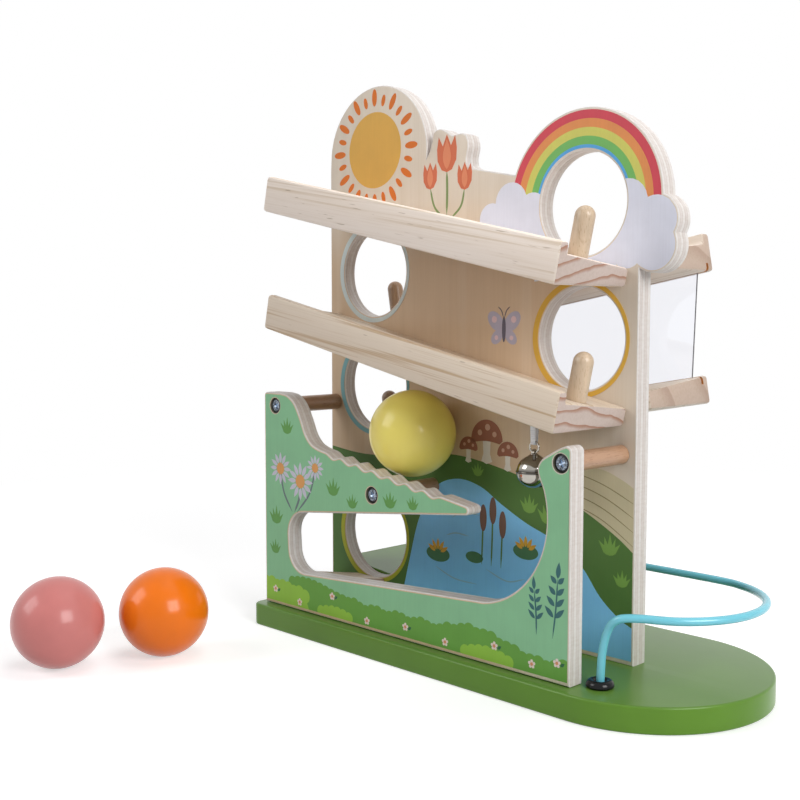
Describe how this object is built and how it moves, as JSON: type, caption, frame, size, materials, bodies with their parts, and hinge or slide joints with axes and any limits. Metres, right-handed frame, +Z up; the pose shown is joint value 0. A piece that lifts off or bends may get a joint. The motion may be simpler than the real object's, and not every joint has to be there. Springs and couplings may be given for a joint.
{
  "type": "wooden marble run",
  "caption": "Upright wooden marble run for small children: sloping tracks on both sides of a shaped panel with ball holes, rippled ramp, bell, wire fence and painted balls.",
  "frame": {"origin": "centre of the base board's underside", "axes": "+Z up, +X along the base towards its round end, +Y towards the back"},
  "size_m": [0.303, 0.2594, 0.2999],
  "materials": {
    "green_paint": "satin paint on board",
    "plywood": "clear lacquer with a printed face",
    "printed_plywood": "printed face, bare ply edges",
    "pine": "planed and lacquered",
    "beech": "turned and lacquered",
    "black_steel": "black oxide",
    "black_plastic": "moulded gloss",
    "blue_wire": "coated steel wire",
    "nickel": "polished nickel plate",
    "clear_acrylic": "clear sheet",
    "white_ribbon": "woven satin ribbon",
    "yellow_paint": "gloss paint",
    "pink_paint": "gloss paint",
    "orange_paint": "gloss paint"
  },
  "bodies": {
    "stand": {"back_lower_track": "pine", "back_ramp": "green_paint", "back_upper_track": "pine", "base_board": "green_paint", "base_screw_front_1": "black_steel", "base_screw_front_2": "black_steel", "base_screw_main_1": "black_steel", "base_screw_main_2": "black_steel", "base_screw_main_3": "black_steel", "front_lower_track": "pine", "front_panel": "printed_plywood", "front_upper_track": "pine", "grommet_back": "black_plastic", "grommet_front": "black_plastic", "guide_wedge": "pine", "main_panel": "plywood", "ribbon_plug": "beech", "spacer_dowel_left": "beech", "spacer_dowel_middle": "beech", "spacer_dowel_right": "beech", "spacer_screw_left": "black_steel", "spacer_screw_middle": "black_steel", "spacer_screw_right": "black_steel", "stop_peg_back_lower": "beech", "stop_peg_back_upper": "beech", "stop_peg_front_lower": "beech", "stop_peg_front_upper": "beech", "track_pin_back_lower_1": "beech", "track_pin_back_lower_2": "beech", "track_pin_back_upper_1": "beech", "track_pin_back_upper_2": "beech", "track_pin_front_lower_1": "beech", "track_pin_front_lower_2": "beech", "track_pin_front_upper_1": "beech", "track_pin_front_upper_2": "beech", "window_pane": "clear_acrylic", "wire_rail": "blue_wire"},
    "yellow_ball": {"yellow_ball": "yellow_paint"},
    "pink_ball": {"pink_ball": "pink_paint"},
    "orange_ball": {"orange_ball": "orange_paint"},
    "bell": {"bell_ribbon": "white_ribbon", "bell_ring": "nickel", "bell_shell": "nickel"},
    "pellet": {"bell_pellet": "nickel"}
  },
  "joints": [
    {"name": "yellow_ball_roll", "type": "slide", "parent": "stand", "child": "yellow_ball", "axis": [0.9861, 0, -0.1659], "range_m": [-0.04, 0.048]},
    {"name": "pink_ball_roll", "type": "slide", "parent": "stand", "child": "pink_ball", "axis": [1, 0, 0], "range_m": [-0.05, 0.05]},
    {"name": "orange_ball_roll", "type": "slide", "parent": "stand", "child": "orange_ball", "axis": [1, 0, 0], "range_m": [-0.05, 0.05]},
    {"name": "bell_swing", "type": "hinge", "parent": "stand", "child": "bell", "pos_m": [0.04, -0.03095, 0.1285], "axis": [0, -1, 0], "range_deg": [-35, 35]},
    {"name": "pellet_rattle", "type": "slide", "parent": "bell", "child": "pellet", "axis": [0, 0, 1], "range_m": [0, 0.004]}
  ]
}
